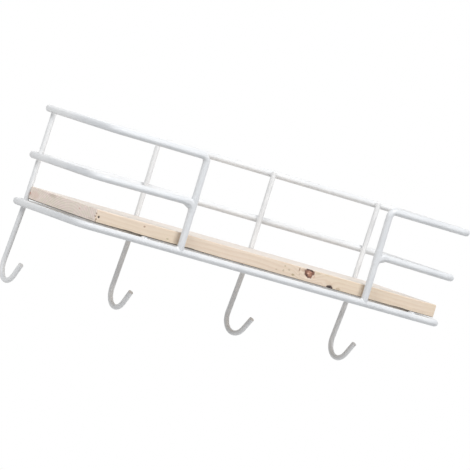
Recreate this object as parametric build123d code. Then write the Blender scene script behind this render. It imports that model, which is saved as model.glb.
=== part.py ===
from build123d import *
from math import cos, radians, sin
import os

# A wire wall shelf: three welded rings stacked one above the other, four rods that run down
# the back of the rings and end in coat hooks, and a loose pine board on two cross supports.
#
# Millimetres and degrees. X runs along the wall with +X on the right as seen from the room,
# +Y points into the wall and +Z up. The origin is on the wall, midway along the shelf, at the
# underside of the top back run, where the nails that carry the shelf bear.

# ---- driving dimensions -------------------------------------------------------------------

RING_ROD = 8.0              # wire of the rings and of the cross supports
HOOK_ROD = 6.0              # wire of the hook rods

RING_WIDTH = 500.0          # between the centrelines of a ring's two side runs
RING_DEPTH = 158.0          # between the centrelines of a ring's back and front runs
RING_CORNER = 14.0          # centreline radius of a ring's corners
TIER_PITCH = 54.9           # height from one ring to the next
TIER_SHIFT = 3.0            # how far each ring sits to the right of the one below it

LEFT_GUARD = 129.2          # from the middle ring's left side run to the post by the open front
RIGHT_GUARD = 113.3         # the same on the right
MIDDLE_RISE = 1.3           # how far the middle rail's guards climb from its corners to the posts
UPPER_BEND = 7.0            # centreline radius where the upper rail turns down into a post
MIDDLE_BEND = 9.5           # the same on the middle rail
SHOULDER_LAP = 6.0          # how far an upper post reaches down the middle rail's bend

HOOK_TOP = 2.5              # how far the rods stand above the centreline of the top back run
HOOK_RADIUS = 19.0          # centreline radius of a hook's bowl
STEM_LEAN = 5.0             # lean of a hook's stem towards the wall, below the lowest ring
STEM_BEND = 18.0            # centreline radius where that lean starts
TIP_FLARE = 34.0            # lean of a hook's tip away from the wall
TIP_LENGTH = 16.7           # straight length of a hook's tip
WELD_BITE = 0.4             # depth to which a hook rod is pressed into a ring by its weld

# Each hook: its name, the side run that it is set out from (-1 left, 1 right) and the distance,
# the drop of its bowl's centreline below the lowest ring, its twist about its own stem and its
# lean to the right along the wall.
HOOKS = [
    ("left_outer_hook", -1, 11.6, 88.5, -4.0, 1.3),
    ("left_inner_hook", -1, 156.2, 85.5, -2.0, 0.2),
    ("right_inner_hook", 1, 181.8, 78.7, 7.0, 0.5),
    ("right_outer_hook", 1, 30.0, 75.0, 2.0, 1.5),
]

# Each cross support: its name, its side run and the distance from it.
SUPPORTS = [
    ("left_cross_support", -1, 82.0),
    ("right_cross_support", 1, 42.5),
]
SUPPORT_RISE = 1.5          # how far their tops stand above the lowest ring's top

BOARD_THICKNESS = 15.0
BOARD_EASE = 1.0            # radius of the board's rubbed-down edges
BOARD_LEFT_GAP = 8.5        # from the board's ends to the middle ring's side runs
BOARD_RIGHT_GAP = 6.0
BOARD_SKEW = 2.7            # how far the left end's corners are from a square cut, out at the back
BOARD_BACK_GAP = 1.0        # from the board to the hook rods behind it
BOARD_FRONT_GAP = 1.5       # from the board to the guards in front of it

# ---- what follows from them ---------------------------------------------------------------

RING_R = RING_ROD / 2
HOOK_R = HOOK_ROD / 2

TOP_Z = RING_R
MIDDLE_Z = TOP_Z - TIER_PITCH
LOW_Z = MIDDLE_Z - TIER_PITCH
SHOULDER_Z = MIDDLE_Z + MIDDLE_RISE

BACK_Y = -RING_R
FRONT_Y = BACK_Y - RING_DEPTH
SIDE_X = RING_WIDTH / 2

ROD_Y = BACK_Y - RING_R - HOOK_R + WELD_BITE


def wire(path, diameter):
    """A round wire along a path."""
    section = Plane(origin=path @ 0, z_dir=path % 0) * Circle(diameter / 2)
    return sweep(section, path=path)


def set_out(side, inset):
    """A place along the wall, measured inwards from a side run of the middle ring."""
    return side * (SIDE_X - inset)


def ring(shift):
    """The closed lowest ring."""
    outline = RectangleRounded(RING_WIDTH, RING_DEPTH, RING_CORNER).wire()
    return wire(Pos(shift, (BACK_Y + FRONT_Y) / 2, LOW_Z) * outline, RING_ROD)


def rail(height, foot, bend, shift, rise):
    """A ring that is open at the front, where its wire turns down into two posts."""
    left_post = set_out(-1, LEFT_GUARD)
    right_post = set_out(1, RIGHT_GUARD)
    left_side = shift - SIDE_X
    right_side = shift + SIDE_X
    corners = [
        (left_post, FRONT_Y, foot),
        (left_post, FRONT_Y, height + rise),
        (left_side, FRONT_Y, height),
        (left_side, BACK_Y, height),
        (right_side, BACK_Y, height),
        (right_side, FRONT_Y, height),
        (right_post, FRONT_Y, height + rise),
        (right_post, FRONT_Y, foot),
    ]
    path = FilletPolyline(*corners, radius=[bend] + [RING_CORNER] * 4 + [bend])
    return wire(path, RING_ROD)


def hook_path(drop):
    """Centreline of a hook rod in the YZ plane, from its top end to the tip of its hook."""
    lean = radians(STEM_LEAN)
    bowl_start = LOW_Z - drop + HOOK_RADIUS * (1 + sin(lean))
    top = (ROD_Y, TOP_Z + HOOK_TOP)
    knee = (ROD_Y, LOW_Z)
    stem_end = (ROD_Y + (LOW_Z - bowl_start) * sin(lean) / cos(lean), bowl_start)
    with BuildLine(Plane.YZ) as line:
        FilletPolyline(top, knee, stem_end, radius=STEM_BEND)
        turn = STEM_LEAN + 180 - TIP_FLARE
        bowl = JernArc(stem_end, (sin(lean), -cos(lean)), HOOK_RADIUS, -turn)
        Line(bowl @ 1, bowl @ 1 + (bowl % 1) * TIP_LENGTH)
    return line.wires()[0]


def hook_rod(x, drop, twist, lean):
    """A hook rod, turned about its own upright stretch and leaning along the wall."""
    upright = Axis((0, ROD_Y, MIDDLE_Z), (0, 0, 1))
    level = Axis((0, ROD_Y, MIDDLE_Z), (0, 1, 0))
    rod = wire(hook_path(drop), HOOK_ROD)
    return Pos(x, 0, 0) * rod.rotate(upright, twist).rotate(level, lean)


def cross_support(x):
    """A wire from the lowest ring's back run to its front run."""
    height = LOW_Z + SUPPORT_RISE
    return wire(Line((x, BACK_Y, height), (x, FRONT_Y, height)), RING_ROD)


def board():
    """The loose shelf board, lying on the cross supports, its left end cut out of square."""
    left = -SIDE_X + RING_R + BOARD_LEFT_GAP
    right = SIDE_X - RING_R - BOARD_RIGHT_GAP
    back = ROD_Y - HOOK_R - BOARD_BACK_GAP
    front = FRONT_Y + RING_R + BOARD_FRONT_GAP
    bottom = LOW_Z + RING_R + SUPPORT_RISE
    corners = [
        (left + BOARD_SKEW, front),
        (right, front),
        (right, back),
        (left - BOARD_SKEW, back),
    ]
    face = make_face(Polyline(*corners, close=True))
    slab = Pos(0, 0, bottom) * extrude(face, BOARD_THICKNESS)
    return fillet(slab.edges(), BOARD_EASE)


def build():
    """Every node by name, each wire coped to the ones that it is welded onto."""
    low = ring(-TIER_SHIFT)
    middle = rail(MIDDLE_Z, LOW_Z, MIDDLE_BEND, 0, MIDDLE_RISE) - low
    upper = rail(TOP_Z, SHOULDER_Z - SHOULDER_LAP, UPPER_BEND, TIER_SHIFT, 0) - middle
    nodes = {"bottom_ring": low, "middle_rail": middle, "upper_rail": upper}

    for name, side, inset, drop, twist, lean in HOOKS:
        rod = hook_rod(set_out(side, inset), drop, twist, lean)
        nodes[name] = rod - low - middle - upper

    for name, side, inset in SUPPORTS:
        nodes[name] = cross_support(set_out(side, inset)) - low

    nodes["shelf_board"] = board()
    return nodes


os.makedirs("parts", exist_ok=True)
for name, shape in build().items():
    shape.label = name
    export_step(shape, f"parts/{name}.step")
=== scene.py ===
import math

import bmesh
import bpy
import numpy as np
from mathutils import Matrix, Vector, noise


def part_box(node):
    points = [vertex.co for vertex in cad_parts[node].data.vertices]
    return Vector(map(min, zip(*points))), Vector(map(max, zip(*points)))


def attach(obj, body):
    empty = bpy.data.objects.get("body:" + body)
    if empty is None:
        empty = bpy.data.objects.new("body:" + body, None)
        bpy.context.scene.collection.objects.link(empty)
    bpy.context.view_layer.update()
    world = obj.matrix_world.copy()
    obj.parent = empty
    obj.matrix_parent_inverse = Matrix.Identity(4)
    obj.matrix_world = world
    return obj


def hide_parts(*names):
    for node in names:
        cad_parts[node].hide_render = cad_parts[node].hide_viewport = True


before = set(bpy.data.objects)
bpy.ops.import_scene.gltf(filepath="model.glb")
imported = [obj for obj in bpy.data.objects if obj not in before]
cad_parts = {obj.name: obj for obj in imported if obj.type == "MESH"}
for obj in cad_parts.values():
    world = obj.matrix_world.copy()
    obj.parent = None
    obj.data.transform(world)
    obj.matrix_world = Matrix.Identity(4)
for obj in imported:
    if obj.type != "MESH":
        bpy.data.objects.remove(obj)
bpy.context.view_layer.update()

# Metres, in the frame of the part: X along the wall, +Y into it, Z up.

# ---- sizes repeated from the part --------------------------------------------------------

RING_R = 0.004                        # wire of the rings and of the cross supports
HOOK_R = 0.003                        # wire of the hook rods
BACK_Y = -0.004                       # centrelines of the rings' back and front runs
FRONT_Y = -0.162
ROD_Y = -0.0106                       # centreline of the hook rods
TOP_Z = 0.004                         # centrelines of the three rings
MIDDLE_Z = -0.0509
LOW_Z = -0.1058
SHOULDER_Z = MIDDLE_Z + 0.0013        # where the middle rail's guards meet the posts
SHOULDER_BEND = 0.0095                # centreline radius of the bend there
SHOULDER_FOOT = SHOULDER_Z - 0.006    # lower end of a post's upper half
GUARD_SLOPE = 0.0108                  # climb of the middle rail's guards towards the posts
SUPPORT_Z = LOW_Z + 0.0015            # centreline of the cross supports
BOARD_FRONT = -0.1565                 # front face of the board
BOARD_SKEW = 0.0027                   # how far the board's left corners are from a square cut

# Place along the wall, and the side on which the guard lies.
POSTS = {"left": (-0.1208, -1), "right": (0.1367, 1)}

# Place along the wall at the height of the middle ring, and lean in degrees.
HOOKS = {
    "left_outer": (-0.2384, 1.3),
    "left_inner": (-0.0938, 0.2),
    "right_inner": (0.0682, 0.5),
    "right_outer": (0.2200, 1.5),
}

SUPPORTS = {"left": -0.168, "right": 0.2075}

# ---- sizes of the weld skins and of the board's wear -------------------------------------

SLEEVE_R = 0.0043                     # the weld metal run over a post's joint
SLEEVE_DOWN = 0.0105                  # how far it reaches below the bend's corner,
SLEEVE_UP = 0.0065                    # above it,
SLEEVE_OUT = 0.0125                   # and along the guard
WEB_R = 0.0024                        # bead across the crook of the bend
TOE_R = 0.0026                        # bead along the foot of a post
LEAST_PROUD = 0.00003                 # skin that stands less proud than this is left out
LUMPS = 0.00012                       # unevenness of a weld's skin
EASE = 0.0011                         # radius of the board's upper edges
CRISP_EASE = 0.0004                   # radius of its lower edges
GROWTH = 0.0031                       # width of a growth ring
STATION_GAP = 0.0005                  # least distance between two sections of the board


# ---- camera, light and floor -------------------------------------------------------------

def place_camera():
    """A long lens a little to the left of the shelf, rolled as the picture is."""
    turn, tip, roll = math.radians(33.0), math.radians(1.4456), math.radians(16.854)
    target, distance = Vector((-0.00603, -0.084, -0.0735)), 5.432
    level = math.cos(tip)
    ahead = Vector((math.sin(turn) * level, math.cos(turn) * level, -math.sin(tip)))
    right = Vector((math.cos(turn), -math.sin(turn), 0))
    up = right.cross(ahead)
    x_axis = right * math.cos(roll) + up * math.sin(roll)
    y_axis = up * math.cos(roll) - right * math.sin(roll)
    camera = bpy.data.objects.new("camera", bpy.data.cameras.new("camera"))
    camera.data.lens = 366.4
    camera.data.sensor_width = 36
    camera.data.clip_end = 60
    place = Matrix((x_axis, y_axis, -ahead)).transposed().to_4x4()
    place.translation = target - ahead * distance
    camera.matrix_world = place
    bpy.context.scene.collection.objects.link(camera)
    bpy.context.scene.camera = camera


def area_light(name, place, target, size, power):
    lamp = bpy.data.lights.new(name, "AREA")
    lamp.shape = "DISK"
    lamp.size = size
    lamp.energy = power
    holder = bpy.data.objects.new(name, lamp)
    holder.location = place
    aim = Vector(target) - Vector(place)
    holder.rotation_euler = aim.to_track_quat("-Z", "Y").to_euler()
    bpy.context.scene.collection.objects.link(holder)


def seen_rays(tree):
    """1 for the rays that show a backdrop: camera, glossy and transmission."""
    path = tree.nodes.new("ShaderNodeLightPath")
    total = path.outputs["Is Camera Ray"]
    for name in ("Is Glossy Ray", "Is Transmission Ray"):
        most = tree.nodes.new("ShaderNodeMath")
        most.operation = "MAXIMUM"
        tree.links.new(total, most.inputs[0])
        tree.links.new(path.outputs[name], most.inputs[1])
        total = most.outputs[0]
    return total


def light_world():
    """A white surround for the eye and a softer one for the light on the part."""
    world = bpy.data.worlds.new("studio")
    bpy.context.scene.world = world
    world.use_nodes = True
    tree = world.node_tree
    tree.nodes.clear()
    soft = tree.nodes.new("ShaderNodeBackground")
    soft.inputs["Color"].default_value = (0.97, 0.985, 1.0, 1)
    soft.inputs["Strength"].default_value = 0.355
    white = tree.nodes.new("ShaderNodeBackground")
    white.inputs["Color"].default_value = (1, 1, 1, 1)
    white.inputs["Strength"].default_value = 1.0
    mix = tree.nodes.new("ShaderNodeMixShader")
    out = tree.nodes.new("ShaderNodeOutputWorld")
    tree.links.new(seen_rays(tree), mix.inputs[0])
    tree.links.new(soft.outputs[0], mix.inputs[1])
    tree.links.new(white.outputs[0], mix.inputs[2])
    tree.links.new(mix.outputs[0], out.inputs["Surface"])


def lay_floor():
    """A pale floor well below the hooks, near white to the eye, with the part's soft shadow.

    The glow fades in from the middle, so that the shadow there stays."""
    mesh = bpy.data.meshes.new("floor")
    half, level = 30.0, -0.55
    corners = [(x * half, y * half, level) for x, y in ((-1, -1), (1, -1), (1, 1), (-1, 1))]
    mesh.from_pydata(corners, [], [(0, 1, 2, 3)])
    floor = bpy.data.objects.new("floor", mesh)
    bpy.context.scene.collection.objects.link(floor)
    material = bpy.data.materials.new("floor_white")
    material.use_nodes = True
    tree = material.node_tree
    tree.nodes.clear()
    matt = tree.nodes.new("ShaderNodeBsdfDiffuse")
    matt.inputs["Color"].default_value = (0.68, 0.68, 0.68, 1)
    glow = tree.nodes.new("ShaderNodeEmission")
    glow.inputs["Strength"].default_value = 1.0
    place = tree.nodes.new("ShaderNodeNewGeometry")
    far = tree.nodes.new("ShaderNodeVectorMath")
    far.operation = "LENGTH"
    fade = tree.nodes.new("ShaderNodeMapRange")
    near, far_off, least, most = 0.65, 1.5, 0.82, 1.0
    ends = {"From Min": near, "From Max": far_off, "To Min": least, "To Max": most}
    for socket, value in ends.items():
        fade.inputs[socket].default_value = value
    share = tree.nodes.new("ShaderNodeMath")
    share.operation = "MULTIPLY"
    mix = tree.nodes.new("ShaderNodeMixShader")
    out = tree.nodes.new("ShaderNodeOutputMaterial")
    tree.links.new(place.outputs["Position"], far.inputs[0])
    tree.links.new(far.outputs["Value"], fade.inputs["Value"])
    tree.links.new(seen_rays(tree), share.inputs[0])
    tree.links.new(fade.outputs["Result"], share.inputs[1])
    tree.links.new(share.outputs[0], mix.inputs[0])
    tree.links.new(matt.outputs[0], mix.inputs[1])
    tree.links.new(glow.outputs[0], mix.inputs[2])
    tree.links.new(mix.outputs[0], out.inputs["Surface"])
    mesh.materials.append(material)


# ---- materials ---------------------------------------------------------------------------

class Shader:
    """A Principled material and short ways to add nodes to it."""

    def __init__(self, name):
        self.material = bpy.data.materials.new(name)
        self.material.use_nodes = True
        self.tree = self.material.node_tree
        self.bsdf = self.tree.nodes["Principled BSDF"]

    def put(self, socket, value):
        if isinstance(value, bpy.types.NodeSocket):
            self.tree.links.new(value, socket)
        else:
            socket.default_value = value

    def node(self, kind, inputs=None, **settings):
        node = self.tree.nodes.new("ShaderNode" + kind)
        for key, value in settings.items():
            setattr(node, key, value)
        for key, value in (inputs or {}).items():
            self.put(node.inputs[key], value)
        return node

    def math(self, operation, *values):
        return self.node("Math", dict(enumerate(values)), operation=operation).outputs[0]

    def vector(self, operation, *values):
        node = self.node("VectorMath", dict(enumerate(values)), operation=operation)
        return node.outputs["Value" if operation in ("LENGTH", "DOT_PRODUCT") else "Vector"]

    def noise(self, where, scale, detail=2.0, rough=0.5, stretch=None, out="Fac"):
        if stretch:
            where = self.vector("MULTIPLY", where, stretch)
        inputs = {"Vector": where, "Scale": scale, "Detail": detail, "Roughness": rough}
        return self.node("TexNoise", inputs).outputs[out]

    def span(self, value, low, high, to_low=0.0, to_high=1.0):
        """A smooth step of value from low to high."""
        inputs = {"Value": value, "From Min": low, "From Max": high}
        inputs.update({"To Min": to_low, "To Max": to_high})
        return self.node("MapRange", inputs, interpolation_type="SMOOTHSTEP").outputs[0]

    def mix(self, amount, first, second):
        node = self.node("Mix", data_type="RGBA")
        for index, value in ((0, amount), (6, first), (7, second)):
            self.put(node.inputs[index], (*value, 1) if isinstance(value, tuple) else value)
        return node.outputs[2]

    def bump(self, height, distance, strength=1.0, under=None):
        inputs = {"Height": height, "Distance": distance, "Strength": strength}
        if under:
            inputs["Normal"] = under
        return self.node("Bump", inputs).outputs[0]


def powder_coat():
    """White powder coat on steel wire: satin, with a fine orange-peel skin, and painted light:
    paler at the wall.
    """
    s = Shader("white_powder_coat")
    where = s.node("TexCoord").outputs["Object"]
    cloud = s.noise(where, 38.0, 3.0)
    peel = s.noise(where, 900.0, 2.0)
    grit = s.noise(where, 2600.0, 1.0)
    cloudy = s.span(cloud, 0.3, 0.7)
    # painted light: the front colour is darker and the back colour paler, for the stronger light
    # near the wall
    front = s.mix(cloudy, (0.695, 0.710, 0.732), (0.747, 0.760, 0.777))
    back = s.mix(cloudy, (0.775, 0.783, 0.795), (0.828, 0.833, 0.838))
    painted_wall_light = s.span(s.node("SeparateXYZ", {0: where}).outputs["Y"], -0.13, -0.02)
    colour = s.mix(painted_wall_light, front, back)
    colour = s.mix(s.span(grit, 0.70, 0.78, 0.0, 0.35), colour, (0.62, 0.62, 0.62))
    s.put(s.bsdf.inputs["Base Color"], colour)
    s.put(s.bsdf.inputs["Roughness"], s.span(peel, 0.3, 0.7, 0.33, 0.45))
    s.put(s.bsdf.inputs["Normal"], s.bump(peel, 0.00012, 0.5))
    return s.material


# Knots of the board: centre on the face, the branch's direction, radius across the grain,
# how much longer it is along the grain, how much wider it is at the top, and how strongly
# its heart covers the wood.
KNOTS = [
    ((0.0575, BOARD_FRONT, -0.0900), (0.05, 1.0, -0.35), 0.0049, 1.40, 0.16, 0.92),
    ((0.0893, BOARD_FRONT, -0.1001), (0.00, 1.0, -0.20), 0.0031, 1.40, 0.0, 1.0),
]

# Flecks, pin knots and stains: centre, half sizes, colour, strength.
MARKS = [
    ((-0.2306, BOARD_FRONT, -0.0934), (0.0013, 0.003, 0.0013), (0.05, 0.03, 0.02), 1.0),
    ((-0.2342, BOARD_FRONT, -0.0900), (0.0007, 0.003, 0.0009), (0.26, 0.15, 0.10), 0.7),
    ((-0.2345, BOARD_FRONT, -0.0934), (0.0007, 0.003, 0.0010), (0.28, 0.16, 0.10), 0.7),
    ((-0.2331, BOARD_FRONT, -0.0965), (0.0009, 0.003, 0.0012), (0.20, 0.11, 0.07), 0.85),
    ((-0.2333, BOARD_FRONT, -0.0987), (0.0010, 0.003, 0.0008), (0.24, 0.20, 0.17), 0.7),
    ((-0.2362, -0.1480, -0.0975), (0.004, 0.0060, 0.0005), (0.46, 0.36, 0.27), 0.5),
    ((-0.1702, BOARD_FRONT, -0.0899), (0.0013, 0.003, 0.0010), (0.30, 0.15, 0.09), 0.65),
    ((-0.1370, BOARD_FRONT, -0.0961), (0.0016, 0.003, 0.0008), (0.36, 0.32, 0.16), 0.6),
    ((0.0236, BOARD_FRONT, -0.0894), (0.0012, 0.003, 0.0008), (0.42, 0.34, 0.18), 0.6),
    ((0.0227, BOARD_FRONT, -0.0948), (0.0010, 0.003, 0.0012), (0.40, 0.32, 0.18), 0.55),
    ((0.0132, BOARD_FRONT, -0.0958), (0.0012, 0.003, 0.0007), (0.42, 0.34, 0.20), 0.5),
    ((0.0300, BOARD_FRONT, -0.0925), (0.0016, 0.003, 0.0009), (0.42, 0.34, 0.20), 0.5),
    ((0.0370, BOARD_FRONT, -0.0966), (0.0021, 0.003, 0.0011), (0.36, 0.27, 0.14), 0.75),
    ((0.0437, BOARD_FRONT, -0.0888), (0.0009, 0.003, 0.0022), (0.28, 0.145, 0.085), 0.70),
    ((0.0485, BOARD_FRONT, -0.0885), (0.0026, 0.003, 0.0016), (0.50, 0.30, 0.19), 0.40),
    ((0.0452, BOARD_FRONT, -0.0942), (0.0012, 0.003, 0.0010), (0.44, 0.30, 0.19), 0.40),
    ((0.0556, BOARD_FRONT, -0.0862), (0.0026, 0.003, 0.0008), (0.06, 0.022, 0.015), 0.95),
    ((0.0602, BOARD_FRONT, -0.0866), (0.0018, 0.003, 0.0009), (0.04, 0.016, 0.012), 1.0),
    ((0.0557, BOARD_FRONT, -0.0926), (0.0014, 0.003, 0.0011), (0.05, 0.018, 0.012), 0.95),
    ((0.0567, BOARD_FRONT, -0.0903), (0.0013, 0.003, 0.0010), (0.80, 0.53, 0.42), 0.80),
    ((0.0655, BOARD_FRONT, -0.0925), (0.0012, 0.003, 0.0018), (0.60, 0.34, 0.24), 0.45),
    ((0.0695, BOARD_FRONT, -0.0874), (0.0036, 0.003, 0.0012), (0.52, 0.44, 0.26), 0.40),
    ((0.0817, BOARD_FRONT, -0.0866), (0.0036, 0.003, 0.0008), (0.52, 0.42, 0.26), 0.35),
    ((0.0894, BOARD_FRONT, -0.0996), (0.0042, 0.003, 0.0024), (0.016, 0.009, 0.007), 1.0),
    ((0.1016, BOARD_FRONT, -0.0984), (0.0030, 0.003, 0.0011), (0.42, 0.30, 0.17), 0.50),
    ((-0.2400, -0.0160, -0.0935), (0.004, 0.0016, 0.0020), (0.56, 0.24, 0.17), 0.75),
    ((-0.2396, -0.0260, -0.0936), (0.004, 0.0090, 0.0044), (0.76, 0.50, 0.40), 0.30),
    ((-0.2360, -0.1212, -0.0913), (0.004, 0.0016, 0.0009), (0.55, 0.33, 0.20), 0.5),
    ((-0.2400, -0.0160, -0.0998), (0.004, 0.0014, 0.0008), (0.05, 0.04, 0.03), 0.9),
    ((-0.2388, -0.0620, -0.0880), (0.004, 0.0080, 0.0016), (0.50, 0.42, 0.34), 0.45),
]

# Stretches of the lower front edge where the painted shade line is stronger: place, half length.
SLIT_SHADE_STRETCHES = [(-0.190, 0.009), (-0.105, 0.008), (0.190, 0.013)]


def knot_fields(s, where, radius):
    """The growth rings pushed aside by the knots, and masks of the knots' hearts and rims."""
    heart, rim = None, None
    for centre, along, size, stretch, flare, dark in KNOTS:
        axis = Vector(along).normalized()
        away = s.vector("SUBTRACT", where, centre)
        depth = s.vector("DOT_PRODUCT", away, tuple(axis))
        lean = s.node("VectorMath", {0: tuple(axis), "Scale": depth}, operation="SCALE")
        across = s.vector("SUBTRACT", away, lean.outputs["Vector"])
        flat = s.vector("MULTIPLY", across, (1 / stretch, 1.0, 1.0))
        if flare:
            height = s.node("SeparateXYZ", {0: flat}).outputs["Z"]
            wider = s.math("ADD", s.math("DIVIDE", height, size / flare), 1.0)
            narrow = s.math("DIVIDE", 1.0, s.math("MAXIMUM", wider, 0.4))
            sides = s.node("CombineXYZ", {0: narrow, 1: 1.0, 2: 1.0}).outputs[0]
            flat = s.vector("MULTIPLY", flat, sides)
        ragged = s.math("MULTIPLY", s.math("SUBTRACT", s.noise(where, 260.0), 0.5), size * 0.9)
        gap = s.math("ADD", s.vector("LENGTH", flat), ragged)
        push = s.math("MULTIPLY", s.span(gap, size * 4.0, size * 0.8), size * 1.1)
        radius = s.math("ADD", radius, push)
        inside = s.span(gap, size * 1.08, size * 0.86, 0.0, dark)
        patchy = s.span(s.noise(where, 330.0, 1.0), 0.35, 0.58, 0.55, 1.0)
        from_rim = s.math("ABSOLUTE", s.math("SUBTRACT", gap, size * 0.80))
        ringed = s.math("MULTIPLY", s.span(from_rim, size * 0.36, size * 0.08), patchy)
        heart = inside if heart is None else s.math("MAXIMUM", heart, inside)
        rim = ringed if rim is None else s.math("MAXIMUM", rim, ringed)
    return radius, heart, rim


def growth_rings(s, where):
    """The distance from a wandering pith below the board."""
    cloud = s.noise(where, 7.0, stretch=(0.7, 1.0, 1.0), out="Color")
    wander = s.vector("SUBTRACT", cloud, (0.5, 0.5, 0.5))
    wander = s.vector("MULTIPLY", wander, (0.0, 0.016, 0.016))
    pith = (0.0, -0.105, -0.136)
    from_pith = s.vector("SUBTRACT", s.vector("ADD", where, wander), pith)
    return s.vector("LENGTH", s.vector("MULTIPLY", from_pith, (0.0, 1.0, 1.0)))


def late_wood(s, where, radius):
    """A mask of the dark late wood of each growth ring, stronger in some places."""
    phase = s.math("FRACT", s.math("DIVIDE", radius, GROWTH))
    late = s.math("MULTIPLY", s.span(phase, 0.25, 0.88), s.span(phase, 1.0, 0.93))
    strength = s.span(s.noise(where, 16.0, 1.0, stretch=(0.3, 1.0, 1.0)), 0.3, 0.7, 0.35, 1.0)
    return s.math("MULTIPLY", late, strength)


def add_marks(s, where, wood):
    """Flecks, pin knots and stains over the wood."""
    ragged = s.math("MULTIPLY", s.math("SUBTRACT", s.noise(where, 900.0), 0.5), 0.9)
    for centre, halves, colour, strength in MARKS:
        away = s.vector("DIVIDE", s.vector("SUBTRACT", where, centre), halves)
        gap = s.math("ADD", s.vector("LENGTH", away), ragged)
        wood = s.mix(s.span(gap, 1.35, 0.65, 0.0, strength), wood, colour)
    return wood


def paint_slit_shade_line(s, where, wood):
    """Painted shade: a dark line along the lower front and left edges, higher at the left."""
    place = s.node("SeparateXYZ", {0: where}).outputs
    at_front = s.span(place["Y"], -0.1515, -0.1550)
    at_left = s.span(place["X"], -0.2300, -0.2340)
    outer = s.math("MAXIMUM", at_front, at_left)
    height = s.math("ADD", place["Z"], s.span(place["X"], -0.06, -0.10, 0.0, -0.00035))
    for x, reach in SLIT_SHADE_STRETCHES:
        away = s.math("ABSOLUTE", s.math("SUBTRACT", place["X"], x))
        height = s.math("ADD", height, s.span(away, reach, reach * 0.4, 0.0, -0.0004))
    # painted shade: this dark line stands in for the shadow in the slit between the board and the
    # lowest ring
    painted_slit_shade = s.math("MULTIPLY", s.span(height, -0.09945, -0.1000, 0.0, 0.93), outer)
    return s.mix(painted_slit_shade, wood, (0.022, 0.018, 0.014))


def pine():
    """Bare planed pine: growth rings round a pith below the board, knots and fibre."""
    s = Shader("planed_pine")
    coord = s.node("TexCoord")
    where = coord.outputs["Object"]
    radius, heart, rim = knot_fields(s, where, growth_rings(s, where))
    late = late_wood(s, where, radius)

    fibre = s.noise(where, 1.0, 3.0, 0.6, stretch=(45.0, 1100.0, 1100.0))
    patch = s.span(s.noise(where, 20.0, stretch=(0.5, 1.0, 1.0)), 0.3, 0.7)
    wood = s.mix(patch, (0.790, 0.665, 0.515), (0.810, 0.680, 0.560))
    wood = s.mix(s.math("MULTIPLY", late, 0.34), wood, (0.66, 0.48, 0.33))
    wood = s.mix(s.span(fibre, 0.25, 0.75, 0.0, 0.14), wood, (0.60, 0.46, 0.34))

    # Sawn end grain is greyer and rougher. The top face is painted paler and greyer than the
    # front: a painted sheen.
    facing = s.node("SeparateXYZ", {0: coord.outputs["Normal"]})
    end_grain = s.span(s.math("ABSOLUTE", facing.outputs["X"]), 0.55, 0.9)
    sawn = s.noise(where, 1.0, stretch=(60.0, 620.0, 160.0))
    tint = s.span(s.noise(where, 250.0, 3.0, stretch=(1.0, 0.5, 1.0)), 0.35, 0.65)
    end = s.mix(tint, (0.855, 0.770, 0.665), (0.920, 0.780, 0.718))
    end = s.mix(s.math("MULTIPLY", late, 0.50), end, (0.58, 0.48, 0.40))
    end = s.mix(s.span(sawn, 0.3, 0.75, 0.0, 0.22), end, (0.64, 0.58, 0.50))
    wood = s.mix(end_grain, wood, end)
    # painted sheen: the upward face is mixed towards a pale grey
    wood = s.mix(s.span(facing.outputs["Z"], 0.6, 0.95, 0.0, 0.55), wood, (0.75, 0.725, 0.71))

    mottled = s.span(s.noise(where, 700.0), 0.35, 0.65)
    wood = s.mix(heart, wood, s.mix(mottled, (0.30, 0.110, 0.062), (0.44, 0.205, 0.125)))
    wood = s.mix(rim, wood, (0.10, 0.032, 0.020))
    # the marks, then the painted shade line along the lower edges
    wood = paint_slit_shade_line(s, where, add_marks(s, where, wood))
    s.put(s.bsdf.inputs["Base Color"], wood)
    s.put(s.bsdf.inputs["Roughness"], s.span(fibre, 0.3, 0.7, 0.42, 0.56))
    s.bsdf.inputs["Specular IOR Level"].default_value = 0.5
    relief = s.bump(fibre, 0.00012, 0.6)
    relief = s.bump(late, 0.0001, 0.5, relief)
    relief = s.bump(s.math("MULTIPLY", sawn, end_grain), 0.0004, 0.7, relief)
    s.put(s.bsdf.inputs["Normal"], relief)
    return s.material


# ---- pieces ------------------------------------------------------------------------------

def add_piece(name, mesh, material, body):
    for polygon in mesh.polygons:
        polygon.use_smooth = True
    mesh.materials.clear()
    mesh.materials.append(material)
    piece = bpy.data.objects.new(name, mesh)
    bpy.context.scene.collection.objects.link(piece)
    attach(piece, body)
    return piece


def board_outline(half_y, half_z, ease, inset):
    """The board's cross-section as (y, z) round its middle, rubbed on top and crisp below."""
    y, z, r = half_y - inset, half_z - inset, max(ease - inset * 0.5, 0.0003)
    along_y, along_z = 30, 9
    points = []
    for turn, (sy, sz) in enumerate(((1, 1), (-1, 1), (-1, -1), (1, -1))):
        c = r if sz > 0 else min(r, CRISP_EASE)
        for step in range(5):
            angle = math.radians(turn * 90 + step * 22.5)
            out, up = c * math.cos(angle), c * math.sin(angle)
            points.append((sy * (y - c) + out, sz * (z - c) + up))
        level = turn in (0, 2)
        count = along_y if level else along_z
        for step in range(1, count):
            share = 1 - 2 * (step / count)
            if level:
                points.append((sy * (y - c) * share, sz * z))
            else:
                points.append((sy * y, sz * (z - c) * share))
    return points


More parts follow.
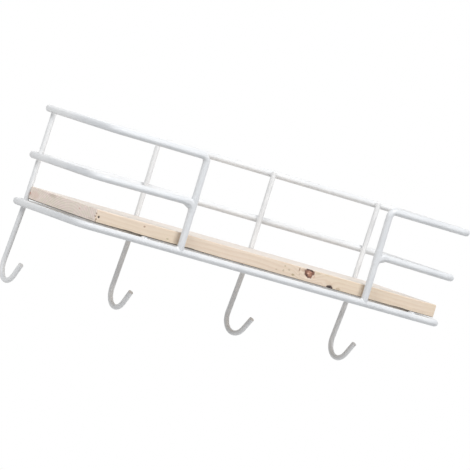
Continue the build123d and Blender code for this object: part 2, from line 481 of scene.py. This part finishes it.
def board_stations(low, high, half_x):
    """Sections along the board: its rubbed ends, and closer ones at knots and marks."""
    arc = [math.radians(angle) for angle in range(0, 91, 18)]
    ends = [(EASE * (1 - math.cos(a)), EASE * (1 - math.sin(a))) for a in arc]
    count, inside = 150, EASE * 1.4
    length = 2 * (half_x - EASE)
    places = {low.x + EASE + length * i / count for i in range(1, count)}
    for centre, _, size, stretch, _, _ in KNOTS:
        places |= {centre[0] + size * stretch * i / 5 for i in range(-8, 9)}
    for centre, halves, _, _ in MARKS:
        places |= {centre[0] + halves[0] * i / 2 for i in range(-3, 4)}
    spread = []
    for x in sorted(places):
        apart = not spread or x - spread[-1] > STATION_GAP
        if low.x + inside < x < high.x - inside and apart:
            spread.append(x)
    stations = [(low.x + dx, inset) for dx, inset in ends]
    stations += [(x, 0.0) for x in spread]
    return stations + [(high.x - dx, inset) for dx, inset in reversed(ends)]


def sunk_by(p):
    """How far a point of the board's skin is sunk by planing ripple, knots and marks."""
    sink = 0.00005 * (0.5 + 0.5 * noise.noise(Vector((p.x * 90, p.y * 25, p.z * 25))))
    for centre, _, radius, stretch, _, _ in KNOTS:
        away = p - Vector(centre)
        gap = Vector((away.x / stretch, away.y * 0.6, away.z)).length / radius
        if gap < 1.3:
            sink += 0.0005 * math.exp(-((gap - 0.8) / 0.25) ** 2)
    for centre, halves, _, strength in MARKS:
        gap = Vector([(a - b) / c for a, b, c in zip(p, centre, halves)]).length
        sink += 0.0004 * strength * math.exp(-gap ** 2)
    return sink


def make_board(material):
    """The pine board: eased, slightly uneven edges, planing ripple and sunk knots."""
    low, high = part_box("shelf_board")
    low.x += BOARD_SKEW
    middle, half = (low + high) / 2, (high - low) / 2
    stations = board_stations(low, high, half.x)
    skewed = 0.05
    verts, faces = [], []
    for x, inset in stations:
        rub = EASE * (1.0 + 0.35 * noise.noise(Vector((x * 30, 2.0, 5.0))))
        skew = BOARD_SKEW * max(0.0, 1 - (x - low.x) / skewed)
        for y, z in board_outline(half.y, half.z, rub, inset):
            verts.append((x - skew * y / half.y, middle.y + y, middle.z + z))
    size = len(verts) // len(stations)
    for ring in range(len(stations) - 1):
        for i in range(size):
            a, b = ring * size + i, ring * size + (i + 1) % size
            faces.append((a, b, b + size, a + size))
    faces.append(tuple(reversed(range(size))))
    faces.append(tuple(range((len(stations) - 1) * size, len(stations) * size)))
    mesh = bpy.data.meshes.new("pine_board")
    mesh.from_pydata(verts, [], faces)
    mesh.update()
    bm = bmesh.new()
    bm.from_mesh(mesh)
    bmesh.ops.recalc_face_normals(bm, faces=bm.faces)
    bm.normal_update()
    for vert in bm.verts:
        vert.co -= vert.normal * sunk_by(vert.co)
    bm.to_mesh(mesh)
    bm.free()
    board = add_piece("pine_board", mesh, material, "board")
    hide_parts("shelf_board")


# ---- welds -------------------------------------------------------------------------------

def route(corners, radius):
    """Points along straight runs joined by arcs of one radius."""
    corners = [Vector(c) for c in corners]
    points = [corners[0]]
    for before, at, after in zip(corners, corners[1:], corners[2:]):
        a, b = (before - at).normalized(), (after - at).normalized()
        half = a.angle(b) / 2
        centre = at + (a + b).normalized() * radius / math.sin(half)
        p = (at + a * radius / math.tan(half) - centre).normalized()
        q = (at + b * radius / math.tan(half) - centre).normalized()
        points += [centre + p.slerp(q, i / 12) * radius for i in range(13)]
    return points + [corners[-1]]


def add_tube(bm, points, radius, around=36):
    """A closed round tube along points that lie in one plane."""
    rings = []
    side = None
    for i, point in enumerate(points):
        ahead = points[min(i + 1, len(points) - 1)] - points[max(i - 1, 0)]
        ahead.normalize()
        if side is None:
            side = ahead.orthogonal().normalized()
        side = (side - ahead * side.dot(ahead)).normalized()
        other = ahead.cross(side)
        turns = [2 * math.pi * k / around for k in range(around)]
        spokes = [side * math.cos(turn) + other * math.sin(turn) for turn in turns]
        rings.append([bm.verts.new(point + spoke * radius) for spoke in spokes])
    for first, second in zip(rings, rings[1:]):
        for k in range(around):
            bm.faces.new((first[k], first[(k + 1) % around], second[(k + 1) % around], second[k]))
    bm.faces.new(list(reversed(rings[0])))
    bm.faces.new(rings[-1])


def clearance(spots, tubes):
    """How far each spot stands outside the nearest wire."""
    best = np.full(len(spots), 1.0)
    for points, radius in tubes:
        for a, b in zip(points, points[1:]):
            a, b = np.array(a), np.array(b)
            along = np.clip((spots - a) @ (b - a) / ((b - a) @ (b - a)), 0, 1)
            gap = np.linalg.norm(spots - a - along[:, None] * (b - a), axis=1) - radius
            best = np.minimum(best, gap)
    return best


def fillet(tubes, beads, voxel=0.0004, rounds=14):
    """The weld's coated skin: wires and beads in one, relaxed, kept where it stands proud.

    Its front is held at the front of the rings, which is the CAD box's own."""
    bm = bmesh.new()
    for points, radius in tubes + beads:
        add_tube(bm, points, radius)
    mesh = bpy.data.meshes.new("union")
    bm.to_mesh(mesh)
    bm.free()
    holder = bpy.data.objects.new("union", mesh)
    bpy.context.scene.collection.objects.link(holder)
    remesh = holder.modifiers.new("remesh", "REMESH")
    remesh.mode = "VOXEL"
    remesh.voxel_size = voxel
    relax = holder.modifiers.new("relax", "SMOOTH")
    relax.factor = 0.5
    relax.iterations = rounds
    graph = bpy.context.evaluated_depsgraph_get()
    skin = bpy.data.meshes.new_from_object(holder.evaluated_get(graph))
    bpy.data.objects.remove(holder)
    bm = bmesh.new()
    bm.from_mesh(skin)
    gaps = clearance(np.array([v.co for v in bm.verts]), tubes)
    proud = {v for v, gap in zip(bm.verts, gaps) if gap > LEAST_PROUD}
    loose = [f for f in bm.faces if not any(v in proud for v in f.verts)]
    bmesh.ops.delete(bm, geom=loose, context="FACES")
    for vert in bm.verts:
        if vert in proud:
            vert.co += vert.normal * LUMPS * noise.noise(vert.co * 700)
        vert.co.y = max(vert.co.y, FRONT_Y - RING_R)
    return bm


def add_welds(name, joints, material):
    """One piece from the welds of several joints, each given by its wires and its beads."""
    whole = bmesh.new()
    for tubes, beads in joints:
        part = fillet(tubes, beads)
        mesh = bpy.data.meshes.new("part")
        part.to_mesh(mesh)
        part.free()
        whole.from_mesh(mesh)
        bpy.data.meshes.remove(mesh)
    mesh = bpy.data.meshes.new(name)
    whole.to_mesh(mesh)
    whole.free()
    add_piece(name, mesh, material, "frame")


def line(*points):
    return [Vector(p) for p in points]


def hook_joints(place, lean):
    """A hook rod, which leans a little along the wall, against the back runs of the rings."""
    reach, above_top = 0.010, 0.0025
    slope = math.tan(math.radians(lean))
    joints = []
    for z in (TOP_Z, MIDDLE_Z, LOW_Z):
        x = place + (z - MIDDLE_Z) * slope
        up = min(reach, TOP_Z + above_top - z)
        rod = line((x - reach * slope, ROD_Y, z - reach), (x + up * slope, ROD_Y, z + up))
        run = line((x - reach, BACK_Y, z), (x + reach, BACK_Y, z))
        joints.append(([(rod, HOOK_R), (run, RING_R)], []))
    return joints


def foot_joint(x):
    """A post's foot on the lowest ring, with a bead along it."""
    reach, toe, height = 0.012, 0.0052, LOW_Z + 0.0022
    foot = line((x, FRONT_Y, LOW_Z), (x, FRONT_Y, LOW_Z + reach))
    run = line((x - reach, FRONT_Y, LOW_Z), (x + reach, FRONT_Y, LOW_Z))
    bead = line((x - toe, FRONT_Y, height), (x + toe, FRONT_Y, height))
    return [(foot, RING_R), (run, RING_R)], [(bead, TOE_R)]


def shoulder_joint(x, side):
    """A post's upper half against the middle rail's bend, with a sleeve of weld over both."""
    def guard(out):
        return x + side * out, FRONT_Y, SHOULDER_Z - out * GUARD_SLOPE

    def post(up):
        return x, FRONT_Y, SHOULDER_Z + up

    reach, above = 0.022, 0.014
    web_start, web_end, web_out = 0.0018, 0.0058, 0.0035
    bend = route([guard(reach), post(0), post(-reach)], SHOULDER_BEND)
    upper = line((x, FRONT_Y, SHOULDER_FOOT), post(above))
    seam = line(post(-SLEEVE_DOWN), post(SLEEVE_UP))
    elbow = route([guard(SLEEVE_OUT), post(0), post(-SLEEVE_DOWN)], SHOULDER_BEND)
    web = line((x + side * SLEEVE_OUT, FRONT_Y, SHOULDER_Z - web_start),
               (x + side * web_out, FRONT_Y, SHOULDER_Z - web_end))
    beads = [(seam, SLEEVE_R), (elbow, SLEEVE_R), (web, WEB_R)]
    return [(bend, RING_R), (upper, RING_R)], beads


def support_joints(x):
    """A cross support between the lowest ring's two long runs."""
    reach = 0.011
    joints = []
    for y, way in ((BACK_Y, -1), (FRONT_Y, 1)):
        run = line((x - reach, y, LOW_Z), (x + reach, y, LOW_Z))
        rod = line((x, y, SUPPORT_Z), (x, y + way * reach, SUPPORT_Z))
        joints.append(([(run, RING_R), (rod, RING_R)], []))
    return joints


# ---- the scene ---------------------------------------------------------------------------

bpy.context.scene.view_settings.view_transform = "Standard"
place_camera()
light_world()
lay_floor()
shelf_middle = (0, -0.08, -0.08)
area_light("overhead", (0.3, -1.35, 2.3), shelf_middle, size=0.8, power=39)
area_light("key", (1.42, -2.55, 0.85), shelf_middle, size=0.35, power=15)
area_light("fill", (-2.2, -0.9, 1.2), shelf_middle, size=1.2, power=27)

coat = powder_coat()
wood = pine()
for name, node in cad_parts.items():
    if name != "shelf_board":
        node.data.materials.clear()
        node.data.materials.append(coat)

make_board(wood)
for side, (x, lean) in HOOKS.items():
    add_welds(side + "_hook_welds", hook_joints(x, lean), coat)
for side, (x, way) in POSTS.items():
    add_welds(side + "_post_welds", [foot_joint(x), shoulder_joint(x, way)], coat)
for side, x in SUPPORTS.items():
    add_welds(side + "_support_welds", support_joints(x), coat)
